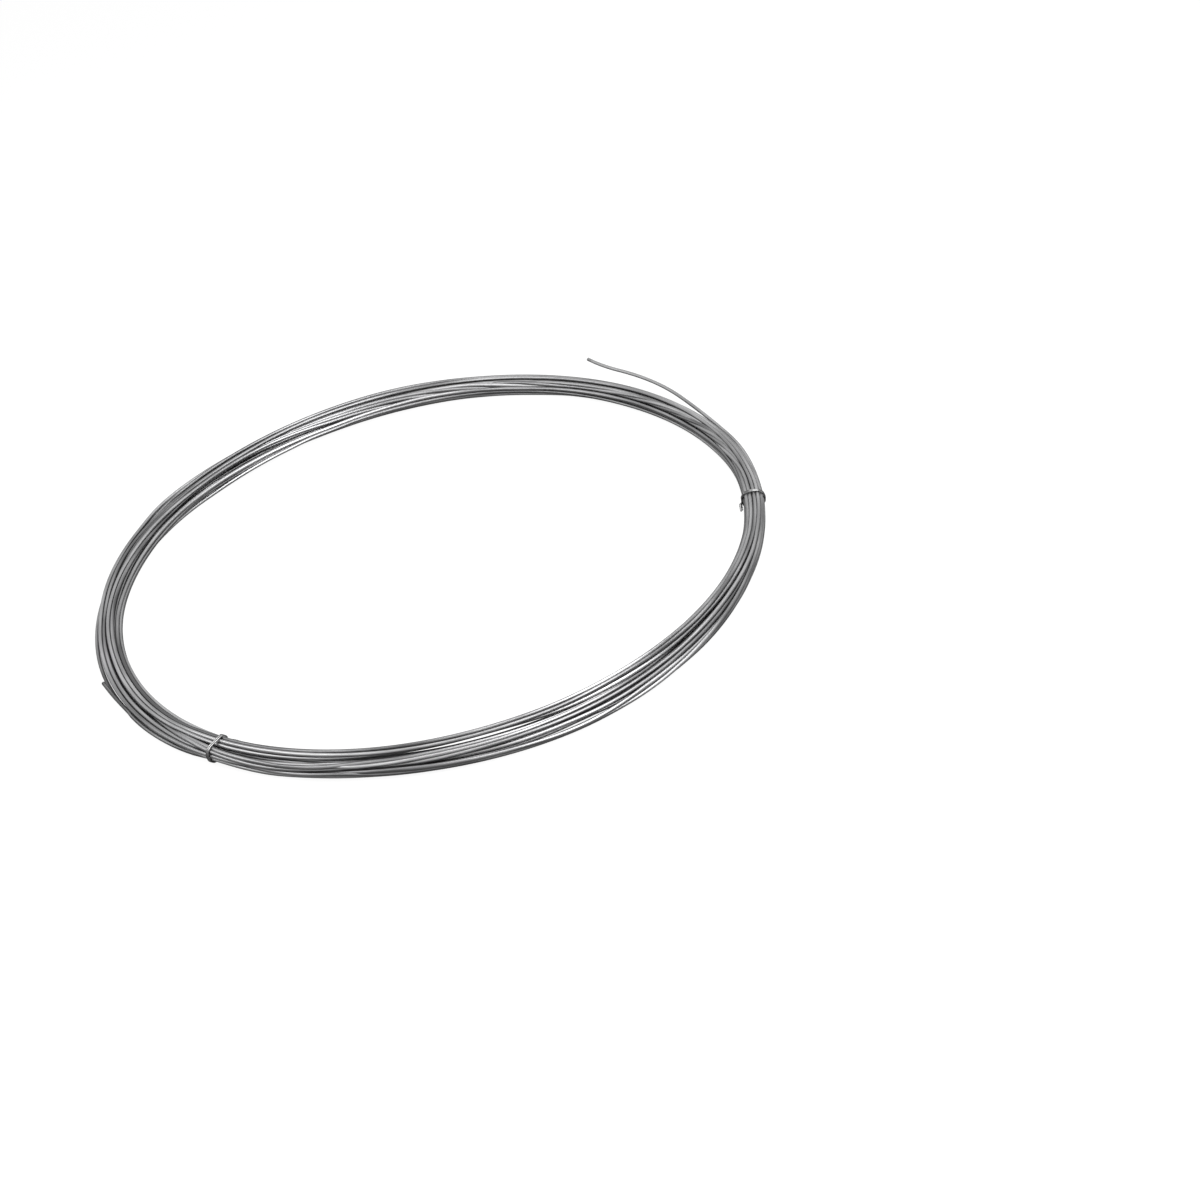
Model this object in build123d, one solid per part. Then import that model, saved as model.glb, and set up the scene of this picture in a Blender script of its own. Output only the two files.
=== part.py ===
from build123d import *
import math
import os

# A loose coil of wire rod lying flat on the floor, tied in two places.
# Millimetres, +Z up. The origin is on the floor, at the centre of the coil.

# wire rod
WIRE_D = 5.5
MEAN_R = 470.0

# bundle of turns: how many lie in each row from the floor up, with the outermost turn and without
# it, and where each row starts, in turns outwards from the mean radius
ROWS = (4, 5, 5, 5, 4)
ROWS_WITHOUT_OUTERMOST = (4, 5, 4, 5, 4)
ROW_START = (-1.75, -2.25, -1.75, -2.25, -1.75)

# gap between turns side by side where the bundle lies loose, and where a tie pulls it tight,
# and gap between turns of neighbouring rows at a tie
LOOSE_SIDE_GAP = 2.3
TIGHT_SIDE_GAP = 0.2
TIGHT_ROW_GAP = 0.08

# binding wire
TIE_D = 2.6
TIE_GAP = 0.3
TIE_FLOOR_GAP = 0.1
NEAR_TIE_DEG = 229.0
RIGHT_TIE_DEG = 356.0

# the two turns of a tie, and its twisted ends, press this far into each other
TIE_PRESS = 0.04
TWIST_PRESS = 0.1

# the bundle draws in to a tie over this angle on either side, in this many steps
NECK_REACH_DEG = 12.0
NECK_STEPS = 3

# twisted ends of the binding wire
TWIST_PITCH = 10.0
TWIST_LEN = 13.0
TWIST_STAND_OFF = 0.4

# The outermost turn runs from one free end, past both ties, to the other.
# Each end leaves this far past its tie and runs through these bends: (length, turn in degrees).
LONG_END_PAST_TIE_DEG = 22.0
LONG_END_BENDS = ((152.0, 5.0), (145.0, 21.2), (73.0, -14.3))
SHORT_END_PAST_TIE_DEG = 21.0
SHORT_END_BENDS = ((106.0, -6.5),)

HALF_WIRE = WIRE_D / 2
LOOSE_SIDE_PITCH = WIRE_D + LOOSE_SIDE_GAP
TIGHT_SIDE_PITCH = WIRE_D + TIGHT_SIDE_GAP
# at a tie the rows nest, each turn in the groove between two of the next row
TIGHT_ROW_PITCH = math.sqrt((WIRE_D + TIGHT_ROW_GAP) ** 2 - (TIGHT_SIDE_PITCH / 2) ** 2)
# where it lies loose the bundle is taller by the room that a tie takes above and below it
TIE_ROOM = TIE_D + TIE_GAP + TIE_FLOOR_GAP
LOOSE_ROW_PITCH = TIGHT_ROW_PITCH + 2 * TIE_ROOM / (len(ROWS) - 1)
BUNDLE_H = (len(ROWS) - 1) * LOOSE_ROW_PITCH + WIRE_D
TWIST_R = (TIE_D - TWIST_PRESS) / 2


def turn_at(row, place, side_pitch, row_pitch):
    """Centre of one turn in the section: (outwards from the mean radius, up from the middle)."""
    x = (place + ROW_START[row]) * side_pitch
    return x, (row - (len(ROWS) - 1) / 2) * row_pitch


def bundle_face(side_pitch, row_pitch, rows=ROWS):
    """Section of the bundle: a core through the outer turns, those turns, and the plain bore."""
    def at(row, place):
        return turn_at(row, place, side_pitch, row_pitch)

    last = len(rows) - 1
    inner = [at(row, 0) for row in range(len(rows))]
    outer = [at(row, count - 1) for row, count in enumerate(rows)]
    floor_row = [at(0, place) for place in range(rows[0])]
    top_row = [at(last, place) for place in range(rows[last])]
    bore_x = min(x for x, z in inner)
    bore_z = [z for x, z in inner if x == bore_x]
    with BuildSketch() as section:
        with BuildLine():
            Polyline(*inner, *reversed(outer), close=True)
        make_face()
        with Locations(*inner, *outer, *floor_row[1:-1], *top_row[1:-1]):
            Circle(HALF_WIRE)
        # the bore touches the innermost turns and closes the groove between them
        with Locations((bore_x, (bore_z[0] + bore_z[-1]) / 2)):
            Rectangle(WIRE_D, bore_z[-1] - bore_z[0])
    return section.sketch.face()


def station(deg):
    """Plane across the bundle at an angle round the coil: X outwards, Y up."""
    a = math.radians(deg)
    outwards = Vector(math.cos(a), math.sin(a), 0)
    centre = outwards * MEAN_R + Vector(0, 0, BUNDLE_H / 2)
    return Plane(origin=centre, x_dir=outwards, z_dir=(math.sin(a), -math.cos(a), 0))


def loose_stretch(start_deg, end_deg, rows=ROWS):
    """Turned stretch of the coil between two angles."""
    section = station(end_deg) * bundle_face(LOOSE_SIDE_PITCH, LOOSE_ROW_PITCH, rows)
    return revolve(section, Axis.Z, start_deg - end_deg)


def necked_stretch(deg):
    """Stretch of the coil in which the turns draw together under a tie and part again."""
    sections = []
    for step in range(-NECK_STEPS, NECK_STEPS + 1):
        share = step / NECK_STEPS
        tight = math.cos(math.pi / 2 * share) ** 2
        side_pitch = LOOSE_SIDE_PITCH + (TIGHT_SIDE_PITCH - LOOSE_SIDE_PITCH) * tight
        row_pitch = LOOSE_ROW_PITCH + (TIGHT_ROW_PITCH - LOOSE_ROW_PITCH) * tight
        here = station(deg + share * NECK_REACH_DEG)
        sections.append(here * bundle_face(side_pitch, row_pitch))
    return loft(sections)


def free_end(deg, direction, bends):
    """Round wire that carries the outermost turn on, away from the bundle.

    It sets off along the turn, with direction 1 anticlockwise and -1 clockwise seen from above.
    """
    middle = len(ROWS) // 2
    x, up = turn_at(middle, ROWS[middle] - 1, LOOSE_SIDE_PITCH, LOOSE_ROW_PITCH)
    here = station(deg)
    point = (here * Pos(x, up, 0)).position
    heading = here.z_dir * -direction
    wire_end = Plane(origin=point, z_dir=heading) * Circle(HALF_WIRE)
    arcs = []
    for length, turn in bends:
        radius = length / math.radians(abs(turn))
        arc = JernArc(start=point, tangent=heading, radius=radius, arc_size=turn)
        arcs.append(arc)
        point = arc @ 1
        heading = arc % 1
    return sweep(wire_end, path=Wire(arcs))


def make_coil():
    """The whole wire: a neck at each tie, turned stretches between, and the two free ends."""
    near = NEAR_TIE_DEG
    right = RIGHT_TIE_DEG - 360
    reach = NECK_REACH_DEG
    long_end = right + LONG_END_PAST_TIE_DEG
    short_end = near - SHORT_END_PAST_TIE_DEG
    half_way = (long_end + short_end) / 2
    stretches = (
        necked_stretch(right),
        loose_stretch(right + reach, long_end),
        free_end(long_end, 1, LONG_END_BENDS),
        loose_stretch(long_end, half_way, ROWS_WITHOUT_OUTERMOST),
        loose_stretch(half_way, short_end, ROWS_WITHOUT_OUTERMOST),
        free_end(short_end, -1, SHORT_END_BENDS),
        loose_stretch(short_end, near - reach),
        necked_stretch(near),
    )
    front = loose_stretch(near + reach, right - reach + 360)
    return front.fuse(*(stretch.solid() for stretch in stretches))


def tie_loop():
    """Centre line of the binding wire round the tight bundle, as lines and arcs."""
    last = len(ROWS) - 1
    middle = len(ROWS) // 2
    corners = []
    for row, place in (
        (0, 0),
        (0, ROWS[0] - 1),
        (middle, ROWS[middle] - 1),
        (last, ROWS[last] - 1),
        (last, 0),
        (last - 1, 0),
        (1, 0),
    ):
        corners.append(turn_at(row, place, TIGHT_SIDE_PITCH, TIGHT_ROW_PITCH))
    hull = make_face(Polyline(*corners, close=True))
    return offset(hull, HALF_WIRE + TIE_GAP + TIE_D / 2, kind=Kind.ARC).face().outer_wire()


def make_tie(deg, side):
    """Binding wire taken twice round the bundle, its ends twisted together on the eye side."""
    here = station(deg)
    loop = tie_loop()
    tie = None
    turn_offset = (TIE_D - TIE_PRESS) / 2
    for shift in (-turn_offset, turn_offset):
        profile = Plane(origin=loop @ 0, z_dir=loop % 0) * Circle(TIE_D / 2)
        turn = Pos(0, 0, shift) * sweep(profile, path=loop)
        tie = turn if tie is None else tie + turn
    inner_x = min(vertex.X for vertex in loop.vertices())
    strand_path = Helix(pitch=TWIST_PITCH, height=TWIST_LEN, radius=TWIST_R)
    strand_profile = Plane(origin=strand_path @ 0, z_dir=strand_path % 0) * Circle(TIE_D / 2)
    strand = sweep(strand_profile, path=strand_path)
    twist_x = inner_x - TWIST_R - TWIST_STAND_OFF
    along = Plane(origin=(twist_x, 0, 0), x_dir=(1, 0, 0), z_dir=(0, 0, side))
    for phase in (0, 180):
        tie = tie + along * Rot(0, 0, phase) * strand
    return here * tie


os.makedirs("parts", exist_ok=True)

pieces = {
    "wire_coil": make_coil(),
    "near_tie": make_tie(NEAR_TIE_DEG, -1),
    "right_tie": make_tie(RIGHT_TIE_DEG, 1),
}
for name, shape in pieces.items():
    export_step(shape, f"parts/{name}.step")
    box = shape.bounding_box()
    print(name, len(shape.solids()), round(shape.volume), shape.is_valid, box.min, box.max)
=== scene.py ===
import math

import bpy
import numpy as np
from bpy.props import FloatProperty, FloatVectorProperty, IntProperty, PointerProperty
from mathutils import Matrix


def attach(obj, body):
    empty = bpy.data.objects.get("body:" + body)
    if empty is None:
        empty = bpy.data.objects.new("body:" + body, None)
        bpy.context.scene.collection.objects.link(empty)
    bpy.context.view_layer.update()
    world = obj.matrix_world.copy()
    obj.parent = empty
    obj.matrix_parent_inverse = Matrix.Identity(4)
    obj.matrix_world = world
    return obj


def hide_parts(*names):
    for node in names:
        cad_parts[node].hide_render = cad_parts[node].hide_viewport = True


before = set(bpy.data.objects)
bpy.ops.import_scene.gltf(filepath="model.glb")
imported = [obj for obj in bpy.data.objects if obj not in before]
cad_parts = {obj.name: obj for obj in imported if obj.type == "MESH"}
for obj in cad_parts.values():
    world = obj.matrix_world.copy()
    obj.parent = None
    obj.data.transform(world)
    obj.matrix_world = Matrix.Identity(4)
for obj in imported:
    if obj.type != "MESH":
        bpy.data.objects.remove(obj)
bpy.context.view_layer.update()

bl_info = {
    "name": "Wire Rod Coil",
    "version": (1, 0, 0),
    "blender": (4, 5, 0),
    "location": "View3D > Sidebar > Coil",
    "description": "Loose tied coil of steel wire rod",
    "category": "Add Mesh",
}

MM = 0.001

# The bundle at angles round the coil: how far it reaches inwards and outwards from the mean
# radius, its height, and how far its top slopes down to one side, as a share of the height,
# outwards where positive: (degrees, inwards mm, outwards mm, height mm, slope)
BUNDLE_PROFILE = (
    (8, 14.5, 14.5, 25.5, 0.0), (20, 17.0, 14.0, 25.5, 0.0), (30, 18.5, 14.5, 26.5, 0.0),
    (45, 17.5, 16.0, 27.5, 0.0), (60, 15.5, 17.0, 28.0, 0.0), (75, 16.5, 21.0, 28.0, 0.0),
    (92, 25.5, 30.0, 29.0, -0.3), (105, 28.0, 30.5, 29.5, -0.6), (122, 29.5, 30.5, 30.0, -0.5),
    (139, 23.5, 32.0, 29.0, -0.3), (150, 20.5, 31.0, 26.0, 0.0), (160, 19.7, 27.5, 25.0, 0.0),
    (178, 20.8, 21.5, 24.5, 0.0), (192, 27.5, 20.7, 24.0, 0.0), (205, 26.0, 23.0, 24.5, 0.0),
    (218, 22.0, 26.0, 25.0, 0.0), (229, 18.0, 19.0, 25.5, 0.0), (240, 21.5, 21.5, 28.5, 0.2),
    (256, 24.5, 21.0, 30.0, 0.4), (274, 29.0, 29.0, 31.0, 0.6), (288, 28.5, 35.5, 31.0, 0.75),
    (299, 23.5, 31.5, 31.0, 0.75), (310, 24.0, 25.5, 29.5, 0.6), (322, 20.5, 22.5, 28.0, 0.3),
    (332, 18.0, 15.5, 26.5, 0.0), (345, 15.5, 14.0, 25.0, 0.0), (356, 15.5, 14.8, 24.7, 0.0),
)

# width in degrees of the bell that softens the table above
PROFILE_BELL_DEG = 8

# power of the bundle's rounded outline, from 2 for an ellipse upwards to a box
OUTLINE_POWER = 2.8

# a tie lifts the bundle off the floor by this much, over this many degrees on either side
TIE_LIFT = 3.0
TIE_LIFT_REACH = 13.0

# gaps between the turns that look deep from the front: (from degrees, to degrees, place across the
# bundle as seen from the front at each end, from -1 at the eye to 1 outside, width mm, and how far
# down the gap reaches from 1 at the top to -1 on the floor)
DEEP_GAPS = (
    (12, 66, -0.35, -0.10, 1.8, -0.1),
    (20, 114, 0.35, 0.30, 2.2, -0.3),
    (116, 178, 0.10, -0.70, 2.6, -0.2),
    (176, 216, 0.05, -0.10, 1.6, -0.1),
    (166, 224, 0.60, 0.40, 1.8, -0.1),
    (226, 284, 0.05, -0.35, 2.4, -0.2),
    (246, 296, 0.30, 0.55, 1.4, -0.1),
    (312, 350, -0.30, 0.10, 1.4, -0.1),
)

# a gap opens over this many degrees, and takes in a turn over this much of its depth
GAP_FADE_DEG = 14.0
GAP_DEPTH_FADE = 0.3

# the innermost turn stands apart here: (from degrees, to degrees, clear gap mm)
INNER_TURN_APART = (74, 116, 2.4)
INNER_TURN_FADE_DEG = 12.0

# one length of wire stops short on the outside of the bundle, and the next starts deep inside it:
# the turn, the angles over which it lies apart, its place across the bundle from -1 to 1, its offset
# and height in mm, how long it lies along the outside before that and takes to get there, the angle
# to the start of the next length, and that start's place in the section, held for some degrees and
# left over more
TIP_TURN = 12
TIP_DEG = (100.0, 141.0)
TIP_ACROSS = 0.97
TIP_OFFSET = 27.2
TIP_HEIGHT = 15.3
TIP_OUTSIDE_DEG = 45.0
TIP_DRIFT_DEG = 80.0
TIP_TO_NEXT_DEG = 21.0
NEXT_START = (-0.2, -0.85)
NEXT_START_HOLD_DEG = 10.0
NEXT_START_FADE_DEG = 50.0

# rows of places in the bundle, from the floor up, in turns outwards from the middle
ROWS = ((-1.5, -0.5, 0.5, 1.5), (-2, -1, 0, 1, 2), (-1.5, -0.5, 0.5, 1.5, 2.5), (-2, -1, 0, 1, 2),
        (-1.5, -0.5, 0.5, 1.5))
ROW_MIDDLE = 0.25
ROW_HALF = 2.5

# how the wire goes from place to place: neighbours swapped in its order, degrees kept free at its
# end, degrees after which a turn drifts to its next place and over which it does, and its slow
# wander across and up, as shares of half the bundle, with a knot every so many degrees, smoothed
PLACE_SWAPS = 3
SPARE_DEG = 150.0
DRIFT_AFTER_DEG = (60, 330)
DRIFT_OVER_DEG = (100, 200)
WANDER = (0.10, 0.12)
WANDER_KNOT_DEG = 70.0
WANDER_SMOOTH_DEG = 60

# turns lie this many diameters apart where the section is tight, and this much more where it has
# room: the tight section in mm2, and how much larger the roomy one is
TIGHT_SPACING = 1.01
ROOMY_EXTRA = 0.12
TIGHT_SECTION = 500.0
ROOMY_SECTION_MORE = 350.0

# rounds in which the turns are pushed apart, the share of an overlap and of a closed gap that one
# round opens, the pull towards the first places, and how often a round softens the wire early on
# and late
ROUNDS = 420
PUSH = 0.32
GAP_PUSH = 0.5
FIRST_PULL = 0.02
LATE_FROM = 0.75
EARLY_SOFTENINGS = 5
LATE_SOFTENINGS = 2
LOWEST_LID = -0.97

# the two free ends leave the bundle here and run through these bends: (length mm, turn degrees)
LONG_END_DEG = 18.0
LONG_END_BENDS = ((152.0, 5.0), (145.0, 21.2), (73.0, -14.3))
LONG_END_HEIGHT = 15.35
LONG_END_EASE_DEG = 20.0
SHORT_END_DEG = 208.0
SHORT_END_BENDS = ((106.0, -6.5),)
SHORT_END_HEIGHT = 13.0
END_TURN_R = 487.0
FULL_TURNS = 22

# the ties: space to the turns, points round the loop, step along the loop and along the whole tie,
# all in mm; and in diameters of the binding wire, the space between a tie's two turns, the distance
# of its twist from the loop and along the coil; and how often the whole path is softened
TIE_SPACE = 0.1
LOOP_POINTS = 1441
LOOP_STEP = 0.6
TIE_STEP = 0.5
TIE_TURN_SPACING = 1.02
TWIST_STAND_OFF = 1.05
TWIST_ALONG = 2.2
TIE_SOFTENINGS = 6
# turns are looked for within this many degrees of a tie
TURNS_WITHIN_DEG = 1.2

# noise on the wire: (waves a metre along it, waves a metre across it, detail)
SLOW_NOISE = (1.1, 40.0, 2.0)
PATCH_NOISE = (9.0, 120.0, 4.0)
LINE_NOISE = (14.0, 1500.0, 3.0)
# shares of the slow noise and of the patches in the tone, the tones that are darkest and lightest,
# the patches that are smoothest and dullest, and the drawn lines' strength and depth in m
SLOW_SHARE = 0.65
PATCH_SHARE = 0.35
TONE_ENDS = (0.41, 0.59)
PATCH_ENDS = (0.35, 0.68)
LINE_STRENGTH = 0.3
LINE_DEPTH = 0.0001
# roughness where the metal is smoothest and dullest
ROD_ROUGHNESS = (0.30, 0.48)
TIE_ROUGHNESS = (0.16, 0.24)

# what the camera looks at, as shares of the mean radius
AIM = (0.47956, -0.38300, 0.0)
SENSOR_MM = 36.0
VIEW_END = 100.0

# the main lamp hangs to the right of the coil, with its long side from front to back, and a weaker
# one to the left
LAMP_PLACE = (0.7, -0.55, 1.5)
LAMP_ALONG = (-0.42, 0.905, 0.0)
LAMP_SIZE = (2.4, 0.9)
FILL_PLACE = (-1.0, -0.35, 1.2)
FILL_SIZE = (1.0, 0.9)

# half the floor's side, its tone under the lamps, and how much of its white the metal sees, because
# the turns shade the floor that they lie on
FLOOR_HALF = 8.0
FLOOR_TONE = 0.13
FLOOR_IN_METAL = 0.15


class CoilSettings(bpy.types.PropertyGroup):
    wire_diameter: FloatProperty(
        name="Wire diameter", description="Diameter of the rod", default=0.0055,
        unit="LENGTH")
    mean_radius: FloatProperty(
        name="Mean radius", description="Radius of the middle of the bundle", default=0.470,
        unit="LENGTH")
    stations: IntProperty(
        name="Stations", description="Points along one turn", default=240)
    sides: IntProperty(
        name="Sides", description="Points round the rod", default=12)
    seed: IntProperty(
        name="Seed", description="Which way the turns wander", default=3)
    dark_tone: FloatVectorProperty(
        name="Dark tone", description="Colour of the steel where it is darkest", size=3,
        subtype="COLOR", min=0.0, max=1.0, default=(0.11, 0.11, 0.112))
    light_tone: FloatVectorProperty(
        name="Light tone", description="Colour of the steel where it is lightest", size=3,
        subtype="COLOR", min=0.0, max=1.0, default=(0.42, 0.42, 0.424))


class TieSettings(bpy.types.PropertyGroup):
    wire_diameter: FloatProperty(
        name="Tie wire diameter", description="Diameter of the binding wire", default=0.0026,
        unit="LENGTH")
    near_angle: FloatProperty(
        name="Near tie", description="Angle of the near tie round the coil",
        default=math.radians(229.0), unit="ROTATION")
    right_angle: FloatProperty(
        name="Right tie", description="Angle of the right tie round the coil",
        default=math.radians(356.0), unit="ROTATION")
    twist_length: FloatProperty(
        name="Twist length", description="Length of the twisted ends", default=0.016,
        unit="LENGTH")
    twist_pitch: FloatProperty(
        name="Twist pitch", description="Length of one turn of the twist", default=0.0095,
        unit="LENGTH")
    sides: IntProperty(
        name="Sides", description="Points round the binding wire", default=12)
    dark_tone: FloatVectorProperty(
        name="Dark tone", description="Colour of the binding wire where it is darkest", size=3,
        subtype="COLOR", min=0.0, max=1.0, default=(0.12, 0.12, 0.12))
    light_tone: FloatVectorProperty(
        name="Light tone", description="Colour of the binding wire where it is lightest", size=3,
        subtype="COLOR", min=0.0, max=1.0, default=(0.28, 0.28, 0.28))


class StageSettings(bpy.types.PropertyGroup):
    field_of_view: FloatProperty(
        name="Field of view", description="Width of the view as an angle",
        default=math.radians(25.0), unit="ROTATION")
    elevation: FloatProperty(
        name="Elevation", description="Height of the view above the coil's plane",
        default=0.58981, unit="ROTATION")
    roll: FloatProperty(
        name="Roll", description="Tilt of the view about its own axis", default=-0.21390,
        unit="ROTATION")
    distance: FloatProperty(
        name="Distance", description="From the camera to what it looks at", default=3.7239,
        unit="LENGTH")
    lamp_power: FloatProperty(
        name="Lamp power", description="Power of the main lamp in watts", default=50.0)
    fill_power: FloatProperty(
        name="Fill power", description="Power of the weaker lamp in watts", default=9.0)
    sky_light: FloatProperty(
        name="Sky light", description="Strength of the light from all round", default=0.35)
    floor_glow: FloatProperty(
        name="Floor white", description="How white the floor looks of itself", default=0.93)


def mesh_object(name, vertices, faces, smooth=True):
    """Object at the origin with its place in its mesh."""
    mesh = bpy.data.meshes.new(name)
    mesh.from_pydata(vertices, [], faces)
    mesh.validate()
    mesh.update()
    mesh.polygons.foreach_set("use_smooth", np.full(len(mesh.polygons), smooth))
    piece = bpy.data.objects.new(name, mesh)
    bpy.context.scene.collection.objects.link(piece)
    return piece


def smoothstep(t):
    """0 below 0, 1 above 1, and 3t2 - 2t3 between them."""
    t = np.clip(t, 0.0, 1.0)
    return t * t * (3.0 - 2.0 * t)


def window(degrees, start, end, fade):
    """1 between two angles, falling to 0 at both of them over the fade."""
    return smoothstep((degrees - start) / fade) * smoothstep((end - degrees) / fade)


def profile_at(degrees):
    """Reach inwards and outwards, height and slope of the bundle: the table's values joined by
    straight lines and softened with a bell."""
    table = np.array(BUNDLE_PROFILE)
    keys = np.concatenate([table[:, 0] - 360, table[:, 0], table[:, 0] + 360])
    fine = np.arange(-360.0, 720.0)
    bell = np.hanning(PROFILE_BELL_DEG)
    columns = []
    for column in (1, 2, 3, 4):
        values = np.interp(fine, keys, np.tile(table[:, column], 3))
        values = np.convolve(values, bell / bell.sum(), mode="same")
        columns.append(np.interp(np.mod(degrees, 360.0), fine, values))
    return columns


def end_path(start_deg, radius, direction, bends, step_mm=2.0):
    """Points (x, y) in mm of a free end: it sets off along the turn at the given radius, and each
    bend turns the heading evenly over its length."""
    lengths = np.array([length for length, turn in bends])
    turns = np.radians([turn for length, turn in bends])
    bounds = np.concatenate([[0.0], np.cumsum(lengths)])
    along = np.linspace(0.0, bounds[-1], int(bounds[-1] / step_mm) + 1)
    middle = (along[1:] + along[:-1]) / 2
    start = math.radians(start_deg)
    turned = np.interp(middle, bounds, np.concatenate([[0.0], np.cumsum(turns)]))
    heading = start + direction * math.pi / 2 + turned
    steps = np.stack([np.cos(heading), np.sin(heading)], axis=1) * np.diff(along)[:, None]
    first = radius * np.array([[math.cos(start), math.sin(start)]])
    return np.concatenate([first, first + np.cumsum(steps, axis=0)])


def visits(rng):
    """Places in the section in the order that the wire takes them, each as (across, up) from -1
    to 1: row by row to and fro, with a few neighbours swapped, from the outermost place round
    and back to it."""
    rows = []
    for level, row in enumerate(ROWS):
        across = (np.array(row, float) - ROW_MIDDLE) / ROW_HALF
        up = np.full(len(row), level / 2.0 - 1.0)
        places = np.stack([across, up], axis=1)
        rows.append(places[::-1] if level % 2 else places)
    order = np.concatenate(rows)
    outermost = order[np.argmax(order[:, 0])]
    order = order[order[:, 0] < outermost[0]]
    for _ in range(PLACE_SWAPS):
        i = rng.integers(0, len(order) - 3)
        j = i + rng.integers(1, 3)
        order[[i, j]] = order[[j, i]]
    return np.concatenate([[outermost], order, [outermost]])


def end_offsets(start_deg, direction, bends, mean_r):
    """Angle round the coil in degrees and offset from the mean radius in mm, along a free end."""
    points = end_path(start_deg, END_TURN_R, direction, bends)
    degrees = np.degrees(np.arctan2(points[:, 1], points[:, 0])) % 360
    return degrees, np.hypot(points[:, 0], points[:, 1]) - mean_r


def drifting_places(seed, phi, leaves, step):
    """Place in the section, each part from -1 to 1, that the wire aims for along its length.

    Each turn drifts by a smooth step from its place to the next one somewhere on its way round,
    and a slow wander, random at its knots and smoothed with a bell, is added.
    """
    rng = np.random.default_rng(seed)
    places = visits(rng)
    span = leaves - SHORT_END_DEG - SPARE_DEG
    shift_at = SHORT_END_DEG + span * np.arange(len(places) - 1) / (len(places) - 1)
    shift_at = np.sort(shift_at + rng.uniform(*DRIFT_AFTER_DEG, len(shift_at)))
    shift_span = rng.uniform(*DRIFT_OVER_DEG, len(shift_at))
    share = smoothstep((phi[:, None] - shift_at) / shift_span)
    target = places[0] + share @ np.diff(places, axis=0)
    knots = np.arange(phi[0] - 90, phi[-1] + 180, WANDER_KNOT_DEG)
    bell = np.hanning(int(WANDER_SMOOTH_DEG / step))
    for axis, size in enumerate(WANDER):
        wander = np.interp(phi, knots, rng.normal(0, size, len(knots)))
        target[:, axis] += np.convolve(wander, bell / bell.sum(), mode="same")
    return target


def softened(pos):
    """Each point moved towards its four neighbours, with the weights 1, 4, 6, 4 and 1."""
    wide = np.pad(pos, ((2, 2), (0, 0)), mode="edge")
    return (wide[:-4] + 4 * wide[1:-3] + 6 * pos + 4 * wide[3:-1] + wide[4:]) / 16


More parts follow.
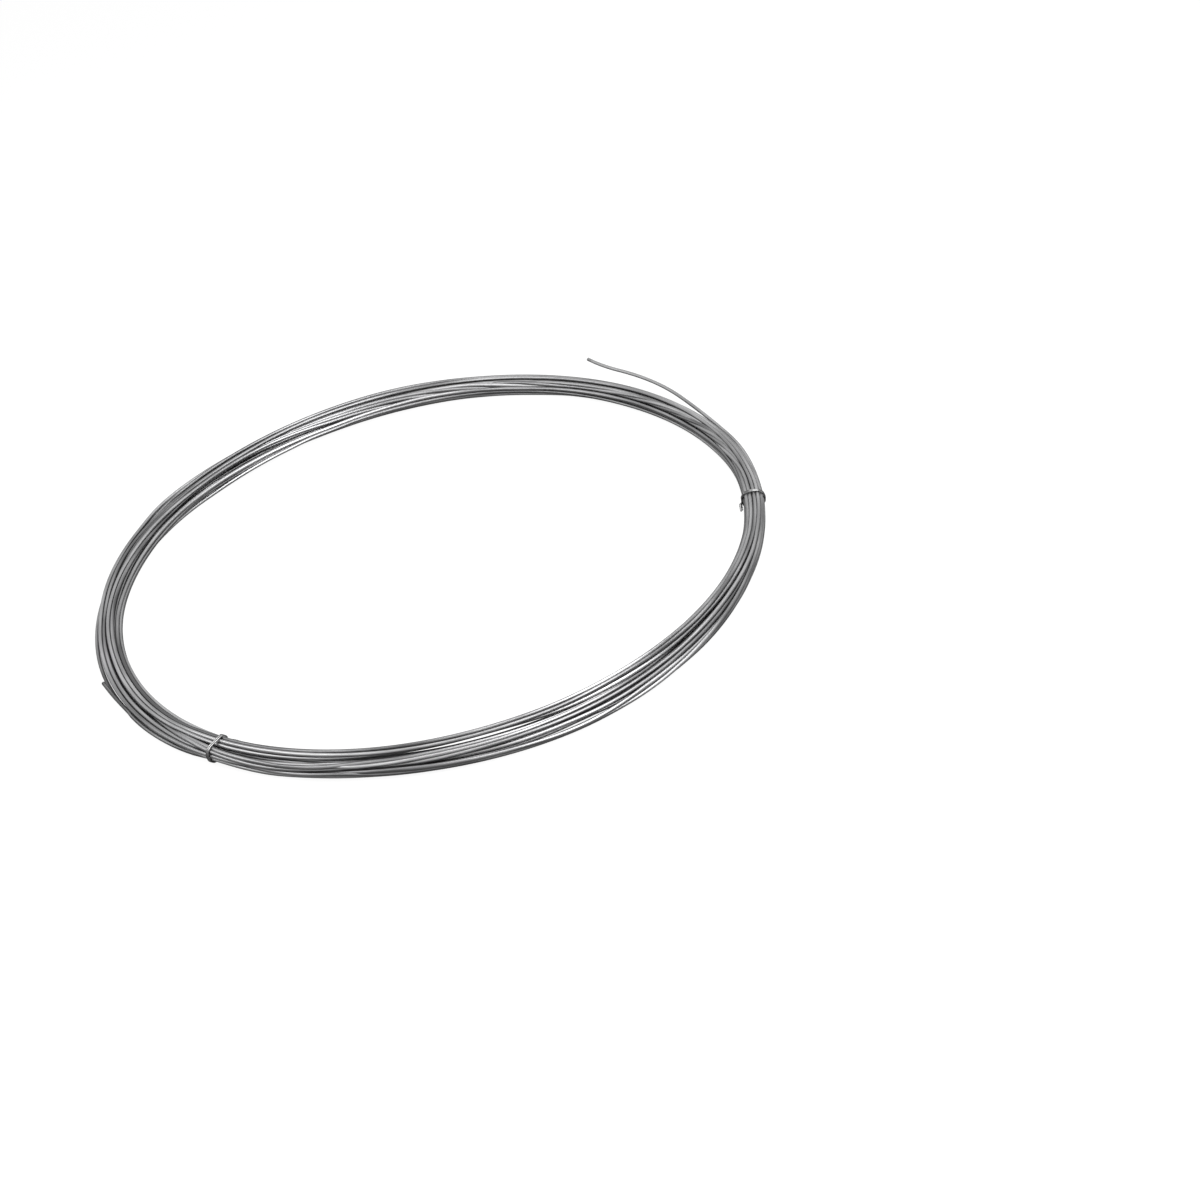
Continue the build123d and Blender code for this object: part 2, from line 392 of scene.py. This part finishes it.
def wind(settings, tie_degs, elevation):
    """Centre lines of the two lengths of wire: for each its angle round the coil in degrees, and
    its place in the section in mm, as (outwards from the mean radius, up from the floor).

    From the places that they drift between, the turns are pushed apart to a wire's diameter, kept
    out of the gaps, held inside the bundle's rounded outline and softened along their length, over
    and over.
    """
    per_turn = settings.stations
    step = 360.0 / per_turn
    mean_r = settings.mean_radius / MM
    d = settings.wire_diameter / MM

    short_deg, short_off = end_offsets(SHORT_END_DEG, -1, SHORT_END_BENDS, mean_r)
    long_deg, long_off = end_offsets(LONG_END_DEG, 1, LONG_END_BENDS, mean_r)
    laps = 360.0 * (FULL_TURNS + 1)
    leaves = LONG_END_DEG + laps
    index = np.arange(math.ceil(short_deg.min() / step),
                      math.floor((long_deg.max() + laps) / step) + 1)
    phi = index * step
    station = index % per_turn
    turn = index // per_turn
    inwards, outwards, height, slope = profile_at(phi)
    middle = (outwards - inwards) / 2
    half_w = (outwards + inwards - d) / 2
    half_h = (height - d) / 2
    level = height / 2
    for tie_deg in tie_degs:
        off = np.abs((phi - tie_deg + 180.0) % 360.0 - 180.0)
        level = level + TIE_LIFT * smoothstep(1.0 - off / TIE_LIFT_REACH)

    def lid(across):
        """Highest place in the section at a place across it, from -1 to 1."""
        return 1.0 - np.abs(slope) * np.clip(1.0 + np.sign(slope) * across, 0.0, 2.0)

    target = drifting_places(settings.seed, phi, leaves, step)
    level_target = target[:, 1].copy()
    target[:, 1] = -1.0 + (target[:, 1] + 1.0) * (lid(target[:, 0]) + 1.0) / 2
    stops = TIP_DEG[1] + 360.0 * TIP_TURN
    apart_from = TIP_DEG[0] + 360.0 * TIP_TURN
    outside_from = apart_from - TIP_OUTSIDE_DEG
    drift = smoothstep((phi - outside_from + TIP_DRIFT_DEG) / TIP_DRIFT_DEG) * (phi <= stops)
    target += (np.array([TIP_ACROSS, 0.0]) - target) * drift[:, None]
    missing = (phi > stops) & (phi < stops + TIP_TO_NEXT_DEG)
    next_from = phi - stops - TIP_TO_NEXT_DEG - NEXT_START_HOLD_DEG
    buried = smoothstep(1.0 - np.abs(next_from) / NEXT_START_FADE_DEG)
    buried = np.where(phi > stops, buried, 0.0)[:, None]
    target += (np.array(NEXT_START) - target) * buried
    pos = np.stack([middle + target[:, 0] * half_w, level + target[:, 1] * half_h], axis=1)

    at_short = phi <= SHORT_END_DEG
    at_long = phi >= leaves - LONG_END_EASE_DEG
    fixed = at_short | at_long
    pos[at_short, 0] = np.interp(phi[at_short], short_deg[::-1], short_off[::-1])
    pos[at_short, 1] = SHORT_END_HEIGHT
    # the long end works its way out of the bundle before it leaves
    inside = smoothstep((leaves - phi[at_long]) / LONG_END_EASE_DEG)
    edge = (middle + half_w)[at_long] - long_off[0]
    pos[at_long, 0] = np.interp(phi[at_long] - laps, long_deg, long_off) + inside * edge
    pos[at_long, 1] = LONG_END_HEIGHT
    at_tip = (phi >= outside_from) & (phi <= stops)
    share = smoothstep((phi[at_tip] - outside_from) / TIP_OUTSIDE_DEG)[:, None]
    pos[at_tip] += (np.array([TIP_OFFSET, TIP_HEIGHT]) - pos[at_tip]) * share
    fixed = fixed | at_tip
    anchor = pos.copy()

    # turns lie close under a tie, and further apart where there is room
    room = half_w * half_h * 4
    room = room * (1.0 - np.abs(slope) / 2)
    roomy = smoothstep((room - TIGHT_SECTION) / ROOMY_SECTION_MORE)
    spacing = d * (TIGHT_SPACING + ROOMY_EXTRA * roomy)
    reach = np.zeros(per_turn)
    reach[station] = spacing

    # one row for each turn and one column for each station
    slot = np.full((turn.max() + 1, per_turn), -1)
    slot[turn[~missing], station[~missing]] = np.flatnonzero(~missing)
    real = slot >= 0
    near = np.where(real, slot, 0)
    pair = real[:, None] & real[None] & ~np.eye(len(slot), dtype=bool)[:, :, None]

    def lap_mean(values, weight):
        """Weighted mean over each turn, spread back to that turn's points."""
        total = np.bincount(turn, values * weight)
        return (total / np.maximum(np.bincount(turn, weight), 1e-9))[turn]

    # seen from the front, a turn lies across the bundle where its line of sight meets the top
    sight = np.sin(np.radians(phi)) / math.tan(elevation)
    stretch = np.sqrt(1.0 + sight ** 2)

    def seen(pos):
        """Where each point seems to lie across the bundle, in mm from the mean radius."""
        return pos[:, 0] - sight * (height - pos[:, 1])

    eye_edge = -inwards - np.clip(sight, 0, None) * height
    far_edge = outwards - np.clip(sight, None, 0) * height
    gaps = []
    angle = phi % 360.0
    for start, end, from_u, to_u, wide, depth in DEEP_GAPS:
        weight = window(angle, start, end, GAP_FADE_DEG) * ~fixed
        place = np.interp(angle, (start, end), (from_u, to_u))
        centre = (eye_edge + far_edge) / 2 + place * (far_edge - eye_edge) / 2
        above = lap_mean(level_target, weight) - depth
        top = smoothstep(above / GAP_DEPTH_FADE + 0.5)
        side = np.where(lap_mean(seen(pos) - centre, weight) > 0, 1.0, -1.0)
        gaps.append((weight * top, centre, side, (wide + d) / 2 * stretch))
    start, end, wide = INNER_TURN_APART
    weight = window(angle, start, end, INNER_TURN_FADE_DEG) * ~fixed
    offset = lap_mean(seen(pos) - middle, weight)
    innermost = offset <= offset[(weight > 0.5)].min() + 1e-9
    centre = eye_edge + (wide / 2 + d) * stretch
    clear = (wide + d) / 2 * stretch
    gaps.append((weight, centre, np.where(innermost, -1.0, 1.0), clear))

    def push_apart(pos):
        """Turns that overlap at a station, moved apart along the line between them."""
        grid = pos[near]
        away = grid[:, None] - grid[None]
        distance = np.sqrt((away ** 2).sum(-1)) + 1e-6
        overlap = np.where(pair, np.clip(reach - distance, 0, None), 0.0)
        push = (away / distance[..., None] * overlap[..., None]).sum(1) * PUSH
        moved = pos.copy()
        moved[near[real]] += push[real]
        return moved

    def keep_gaps(pos):
        """Turns moved sideways out of each gap, to the side on which they mostly lie."""
        for weight, centre, side, clear in gaps:
            short_by = clear - side * (seen(pos) - centre)
            pos[:, 0] += side * np.clip(short_by, 0, None) * weight * GAP_PUSH
        return pos

    def hold(pos):
        """Turns brought back inside the rounded outline and under its lid."""
        u = (pos[:, 0] - middle) / half_w
        v = (pos[:, 1] - level) / half_h
        size = np.abs(u) ** OUTLINE_POWER + np.abs(v) ** OUTLINE_POWER
        size = np.maximum(size ** (1 / OUTLINE_POWER), 1.0)
        v = np.minimum(v / size, np.maximum(lid(u / size), LOWEST_LID))
        return np.stack([middle + u / size * half_w, level + v * half_h], axis=1)

    for lap in range(ROUNDS):
        part = lap / ROUNDS
        pos = push_apart(pos)
        pos += (anchor - pos) * (FIRST_PULL * (1 - part))
        pos = keep_gaps(pos)
        for _ in range(EARLY_SOFTENINGS if part < LATE_FROM else LATE_SOFTENINGS):
            pos = softened(pos)
        pos = hold(pos)
        pos[fixed] = anchor[fixed]
    first = phi <= stops
    last = phi >= stops + TIP_TO_NEXT_DEG
    return (phi[first], pos[first]), (phi[last], pos[last])


def ring_tube(centres, across, radius, sides):
    """Vertices and faces of a round tube: at each point of the path a circle lies square to the
    line between the point's neighbours, and a flat face closes each end. The direction across is
    one that the path never runs along, and its cross product with the path starts each circle."""
    tangent = np.gradient(centres, axis=0)
    tangent /= np.linalg.norm(tangent, axis=1)[:, None]
    side = np.cross(tangent, across)
    side /= np.linalg.norm(side, axis=1)[:, None]
    up = np.cross(side, tangent)
    around = np.arange(sides) * 2 * np.pi / sides
    circle = (np.cos(around)[None, :, None] * side[:, None, :]
              + np.sin(around)[None, :, None] * up[:, None, :])
    vertices = (centres[:, None, :] + circle * radius).reshape(-1, 3)
    rings = np.arange(len(centres) - 1)[:, None] * sides
    here = np.arange(sides)[None, :]
    following = (here + 1) % sides
    quads = np.stack([rings + here, rings + following, rings + sides + following,
                      rings + sides + here], axis=-1).reshape(-1, 4)
    faces = quads.tolist()
    faces.append(list(range(sides))[::-1])
    faces.append(list(range(len(vertices) - sides, len(vertices))))
    return vertices, faces


def joined(tubes):
    """Vertices and faces of several tubes as one mesh."""
    vertices = [tube[0] for tube in tubes]
    faces = []
    start = 0
    for points, polygons in tubes:
        faces += [[corner + start for corner in polygon] for polygon in polygons]
        start += len(points)
    return np.concatenate(vertices), faces


def straight_wire(piece, paths, radius, sides):
    """Attribute with each vertex's place on the wire as if it were pulled straight along X: the
    length from its start, and the two places across it on a circle of its radius."""
    steps = [np.linalg.norm(np.diff(path, axis=0, prepend=path[:1]), axis=1) for path in paths]
    along = np.repeat(np.cumsum(np.concatenate(steps)), sides)
    around = np.tile(np.arange(sides) * 2 * np.pi / sides, len(along) // sides)
    place = np.stack([along, radius * np.cos(around), radius * np.sin(around)], axis=1)
    layer = piece.data.attributes.new("straight_wire", "FLOAT_VECTOR", "POINT")
    layer.data.foreach_set("vector", place.ravel())


def noise(nodes, links, source, along, across, detail):
    """Noise on the straight wire, with its own scale along the wire and across it."""
    stretch = nodes.new("ShaderNodeMapping")
    stretch.inputs["Scale"].default_value = (along, across, across)
    links.new(source.outputs["Vector"], stretch.inputs["Vector"])
    texture = nodes.new("ShaderNodeTexNoise")
    texture.inputs["Scale"].default_value = 1.0
    texture.inputs["Detail"].default_value = detail
    links.new(stretch.outputs["Vector"], texture.inputs["Vector"])
    return texture


def wire_metal(name, dark_tone, light_tone, roughness):
    """Bare metal wire: slow changes of tone along it, dull patches and fine drawn lines."""
    material = bpy.data.materials.new(name)
    material.use_nodes = True
    nodes = material.node_tree.nodes
    links = material.node_tree.links
    nodes.clear()
    out = nodes.new("ShaderNodeOutputMaterial")
    shader = nodes.new("ShaderNodeBsdfPrincipled")
    shader.inputs["Metallic"].default_value = 1.0
    links.new(shader.outputs["BSDF"], out.inputs["Surface"])
    wire = nodes.new("ShaderNodeAttribute")
    wire.attribute_name = "straight_wire"
    slow = noise(nodes, links, wire, *SLOW_NOISE)
    patch = noise(nodes, links, wire, *PATCH_NOISE)
    lines = noise(nodes, links, wire, *LINE_NOISE)
    tone = nodes.new("ShaderNodeMath")
    tone.operation = "MULTIPLY_ADD"
    tone.inputs[1].default_value = SLOW_SHARE
    links.new(slow.outputs["Fac"], tone.inputs[0])
    share = nodes.new("ShaderNodeMath")
    share.operation = "MULTIPLY"
    share.inputs[1].default_value = PATCH_SHARE
    links.new(patch.outputs["Fac"], share.inputs[0])
    links.new(share.outputs["Value"], tone.inputs[2])
    ramp = nodes.new("ShaderNodeValToRGB")
    stops = zip(ramp.color_ramp.elements, TONE_ENDS, (dark_tone, light_tone))
    for element, position, colour in stops:
        element.position = position
        element.color = (*colour, 1)
    links.new(tone.outputs["Value"], ramp.inputs["Fac"])
    links.new(ramp.outputs["Color"], shader.inputs["Base Color"])
    rough = nodes.new("ShaderNodeMapRange")
    for socket, value in zip(("From Min", "From Max", "To Min", "To Max"),
                             (*PATCH_ENDS, *roughness)):
        rough.inputs[socket].default_value = value
    links.new(patch.outputs["Fac"], rough.inputs["Value"])
    links.new(rough.outputs["Result"], shader.inputs["Roughness"])
    bump = nodes.new("ShaderNodeBump")
    bump.inputs["Strength"].default_value = LINE_STRENGTH
    bump.inputs["Distance"].default_value = LINE_DEPTH
    links.new(lines.outputs["Fac"], bump.inputs["Height"])
    links.new(bump.outputs["Normal"], shader.inputs["Normal"])
    return material


class COIL_OT_wire(bpy.types.Operator):
    """Wind the wire into its coil."""
    bl_idname = "coil.wire"
    bl_label = "Wind Wire"

    def execute(self, context):
        settings = context.scene.coil
        ties = context.scene.coil_ties
        paths = []
        tie_degs = np.degrees([ties.near_angle, ties.right_angle])
        for phi, pos in wind(settings, tie_degs, context.scene.coil_stage.elevation):
            angle = np.radians(phi)
            radius = settings.mean_radius + pos[:, 0] * MM
            paths.append(np.stack(
                [radius * np.cos(angle), radius * np.sin(angle), pos[:, 1] * MM], axis=1))
        wire_r = settings.wire_diameter / 2
        up = np.array([0.0, 0.0, 1.0])
        tubes = [ring_tube(path, up, wire_r, settings.sides) for path in paths]
        piece = mesh_object("wound_wire", *joined(tubes))
        straight_wire(piece, paths, wire_r, settings.sides)
        piece.data.materials.append(wire_metal(
            "rod_steel_look", settings.dark_tone, settings.light_tone, ROD_ROUGHNESS))
        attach(piece, "root")
        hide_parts("wire_coil")
        return {"FINISHED"}


def turns_at(degrees, coil):
    """Places in the section, in mm, of the wound wire's turns near an angle: the middle of each
    ring of its mesh, as (outwards from the mean radius, up from the floor)."""
    mesh = bpy.data.objects["wound_wire"].data
    points = np.empty(len(mesh.vertices) * 3, dtype=np.float32)
    mesh.vertices.foreach_get("co", points)
    centres = points.reshape(-1, coil.sides, 3).mean(axis=1)
    at = np.degrees(np.arctan2(centres[:, 1], centres[:, 0]))
    close = np.abs((at - degrees + 180.0) % 360.0 - 180.0) < TURNS_WITHIN_DEG
    radius = np.hypot(centres[close, 0], centres[close, 1])
    return np.stack([radius - coil.mean_radius, centres[close, 2]], axis=1) / MM


def tie_path(degrees, twist_side, wire_d, coil, ties):
    """Centre line in mm of one tie, in the section's (outwards, up, along the coil).

    The loop is the outline that touches the turns from outside: in each direction it lies one
    turn's and one tie's radius beyond the turn that reaches furthest. It is followed twice while
    it moves a tie's diameter along the coil. From its two ends the wire goes on as two helices
    about one line on the eye side.
    """
    turns = turns_at(degrees, coil)
    reach = coil.wire_diameter / MM / 2 + wire_d / 2 + TIE_SPACE
    around = np.linspace(math.pi, math.pi + 4 * math.pi, LOOP_POINTS)
    normal = np.stack([np.cos(around), -np.sin(around)], axis=1)
    furthest = turns[np.argmax(normal @ turns.T, axis=1)]
    loop = furthest + normal * reach
    runs = np.concatenate([[0.0], np.cumsum(np.linalg.norm(np.diff(loop, axis=0), axis=1))])
    even = np.linspace(0, runs[-1], int(runs[-1] / LOOP_STEP))
    loop = np.stack([np.interp(even, runs, loop[:, k]) for k in (0, 1)], axis=1)
    share = even / even[-1]
    lean = (share - 0.5) * 2 * wire_d * TIE_TURN_SPACING * twist_side
    loop = np.column_stack([loop, lean])

    pitch = ties.twist_pitch / MM
    twist = np.arange(0, ties.twist_length / MM, TIE_STEP)
    helix_r = wire_d / 2
    eye = loop[0, 0] - wire_d * TWIST_STAND_OFF
    level = loop[0, 1]
    ends = []
    for phase in (0.0, math.pi):
        turned = twist / pitch * 2 * math.pi + phase
        helix = np.stack([eye + helix_r * np.cos(turned), level + helix_r * np.sin(turned),
                          (twist + wire_d * TWIST_ALONG) * twist_side], axis=1)
        ends.append(helix)
    path = np.concatenate([ends[0][::-1], loop, ends[1]])
    runs = np.concatenate([[0.0], np.cumsum(np.linalg.norm(np.diff(path, axis=0), axis=1))])
    even = np.linspace(0, runs[-1], int(runs[-1] / TIE_STEP))
    path = np.stack([np.interp(even, runs, path[:, k]) for k in range(3)], axis=1)
    for _ in range(TIE_SOFTENINGS):
        path[1:-1] = (path[:-2] + 2 * path[1:-1] + path[2:]) / 4
    return path


class COIL_OT_ties(bpy.types.Operator):
    """Bend the two ties round the bundle."""
    bl_idname = "coil.ties"
    bl_label = "Bend Ties"

    def execute(self, context):
        coil = context.scene.coil
        ties = context.scene.coil_ties
        wire_d = ties.wire_diameter / MM
        material = wire_metal("tie_wire_look", ties.dark_tone, ties.light_tone, TIE_ROUGHNESS)
        sides = ties.sides
        for node, angle, twist_side in (
                ("near_tie", ties.near_angle, 1), ("right_tie", ties.right_angle, -1)):
            local = tie_path(math.degrees(angle), twist_side, wire_d, coil, ties) * MM
            out = np.array([math.cos(angle), math.sin(angle), 0.0])
            along = np.array([-math.sin(angle), math.cos(angle), 0.0])
            up = np.array([0.0, 0.0, 1.0])
            path = (out * (coil.mean_radius + local[:, :1]) + up * local[:, 1:2]
                    + along * local[:, 2:])
            eye_side = out * local[:, :1] + up * (local[:, 1:2] - local[:, 1].mean())
            vertices, faces = ring_tube(path, eye_side, ties.wire_diameter / 2, sides)
            piece = mesh_object(node + "_wire", vertices, faces)
            straight_wire(piece, [path], ties.wire_diameter / 2, sides)
            piece.data.materials.append(material)
            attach(piece, "root")
            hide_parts(node)
        return {"FINISHED"}


def axes_matrix(x_axis, y_axis, z_axis, place):
    """Matrix whose columns are three axes and a place."""
    rows = [[x_axis[i], y_axis[i], z_axis[i], place[i]] for i in range(3)]
    return Matrix(rows + [[0, 0, 0, 1]])


def soft_lamp(name, place, aim, along, power, size):
    """Oblong lamp that faces what it is aimed at, with its long side in the given direction."""
    light = bpy.data.lights.new(name, "AREA")
    light.shape = "RECTANGLE"
    light.energy = power
    light.size, light.size_y = size
    lamp = bpy.data.objects.new(name, light)
    lamp.visible_camera = False
    bpy.context.scene.collection.objects.link(lamp)
    place = np.array(place, float)
    z_axis = place - np.array(aim)
    z_axis /= np.linalg.norm(z_axis)
    y_axis = np.cross(z_axis, along)
    y_axis /= np.linalg.norm(y_axis)
    lamp.matrix_world = axes_matrix(np.cross(y_axis, z_axis), y_axis, z_axis, place)


class COIL_OT_stage(bpy.types.Operator):
    """Set up the camera, the floor and the light."""
    bl_idname = "coil.stage"
    bl_label = "Set Stage"

    def execute(self, context):
        stage = context.scene.coil_stage
        radius = context.scene.coil.mean_radius
        back = np.array([0.0, -math.cos(stage.elevation), math.sin(stage.elevation)])
        right = np.array([1.0, 0.0, 0.0])
        up = np.cross(back, right)
        c = math.cos(stage.roll)
        s = math.sin(stage.roll)
        aim = np.array(AIM) * radius
        data = bpy.data.cameras.new("camera")
        data.sensor_width = SENSOR_MM
        data.sensor_fit = "HORIZONTAL"
        data.lens = SENSOR_MM / 2 / math.tan(stage.field_of_view / 2)
        data.clip_end = VIEW_END
        camera = bpy.data.objects.new("camera", data)
        context.scene.collection.objects.link(camera)
        camera.matrix_world = axes_matrix(
            right * c + up * s, up * c - right * s, back, aim + back * stage.distance)
        context.scene.camera = camera
        context.scene.view_settings.view_transform = "Standard"

        side = FLOOR_HALF
        corners = [(-side, -side, 0), (side, -side, 0), (side, side, 0), (-side, side, 0)]
        floor = mesh_object("floor", corners, [(0, 1, 2, 3)], smooth=False)
        floor.data.materials.append(floor_look(stage))
        context.scene.world = world_look(stage)
        middle = (0, 0, 0)
        soft_lamp("key", LAMP_PLACE, middle, LAMP_ALONG, stage.lamp_power, LAMP_SIZE)
        soft_lamp("fill", FILL_PLACE, middle, LAMP_ALONG, stage.fill_power, FILL_SIZE)
        return {"FINISHED"}


def white_share(nodes, links, in_metal):
    """1 for what the camera sees, and a share for what is seen in metal or through glass."""
    path = nodes.new("ShaderNodeLightPath")
    either = nodes.new("ShaderNodeMath")
    either.operation = "MAXIMUM"
    links.new(path.outputs["Is Glossy Ray"], either.inputs[0])
    links.new(path.outputs["Is Transmission Ray"], either.inputs[1])
    share = nodes.new("ShaderNodeMath")
    share.operation = "MULTIPLY_ADD"
    share.inputs[1].default_value = in_metal
    links.new(either.outputs["Value"], share.inputs[0])
    links.new(path.outputs["Is Camera Ray"], share.inputs[2])
    return share.outputs["Value"]


def floor_look(stage):
    """Plain matt floor, white to the eye and dim in metal, that keeps the coil's shadow."""
    material = bpy.data.materials.new("floor_look")
    material.use_nodes = True
    nodes = material.node_tree.nodes
    links = material.node_tree.links
    nodes.clear()
    out = nodes.new("ShaderNodeOutputMaterial")
    matt = nodes.new("ShaderNodeBsdfDiffuse")
    matt.inputs["Color"].default_value = (FLOOR_TONE, FLOOR_TONE, FLOOR_TONE, 1)
    glow = nodes.new("ShaderNodeEmission")
    glow.inputs["Color"].default_value = (1, 1, 1, 1)
    strength = nodes.new("ShaderNodeMath")
    strength.operation = "MULTIPLY"
    strength.inputs[1].default_value = stage.floor_glow
    links.new(white_share(nodes, links, FLOOR_IN_METAL), strength.inputs[0])
    links.new(strength.outputs["Value"], glow.inputs["Strength"])
    both = nodes.new("ShaderNodeAddShader")
    links.new(matt.outputs["BSDF"], both.inputs[0])
    links.new(glow.outputs["Emission"], both.inputs[1])
    links.new(both.outputs["Shader"], out.inputs["Surface"])
    return material


def world_look(stage):
    """White to the eye and in metal, and a soft even light."""
    world = bpy.data.worlds.new("world")
    world.use_nodes = True
    nodes = world.node_tree.nodes
    links = world.node_tree.links
    nodes.clear()
    out = nodes.new("ShaderNodeOutputWorld")
    sky = nodes.new("ShaderNodeBackground")
    sky.inputs["Color"].default_value = (1, 1, 1, 1)
    strength = nodes.new("ShaderNodeMapRange")
    strength.inputs["To Min"].default_value = stage.sky_light
    strength.inputs["To Max"].default_value = 1.0
    links.new(white_share(nodes, links, 1.0), strength.inputs["Value"])
    links.new(strength.outputs["Result"], sky.inputs["Strength"])
    links.new(sky.outputs["Background"], out.inputs["Surface"])
    return world


class COIL_PT_panel(bpy.types.Panel):
    """Sizes of the coil and the steps that make it."""
    bl_label = "Wire Rod Coil"
    bl_space_type = "VIEW_3D"
    bl_region_type = "UI"
    bl_category = "Coil"

    def draw(self, context):
        layout = self.layout
        for group in (context.scene.coil, context.scene.coil_ties, context.scene.coil_stage):
            for key in group.__annotations__:
                layout.prop(group, key)
        for operator in (COIL_OT_stage, COIL_OT_wire, COIL_OT_ties):
            layout.operator(operator.bl_idname)


CLASSES = (CoilSettings, TieSettings, StageSettings, COIL_OT_wire, COIL_OT_ties,
           COIL_OT_stage, COIL_PT_panel)


def register():
    for item in CLASSES:
        bpy.utils.register_class(item)
    bpy.types.Scene.coil = PointerProperty(type=CoilSettings)
    bpy.types.Scene.coil_ties = PointerProperty(type=TieSettings)
    bpy.types.Scene.coil_stage = PointerProperty(type=StageSettings)


def unregister():
    del bpy.types.Scene.coil_stage
    del bpy.types.Scene.coil_ties
    del bpy.types.Scene.coil
    for item in reversed(CLASSES):
        bpy.utils.unregister_class(item)


def main():
    register()
    bpy.ops.coil.stage()
    bpy.ops.coil.wire()
    bpy.ops.coil.ties()


if __name__ == "__main__":
    main()
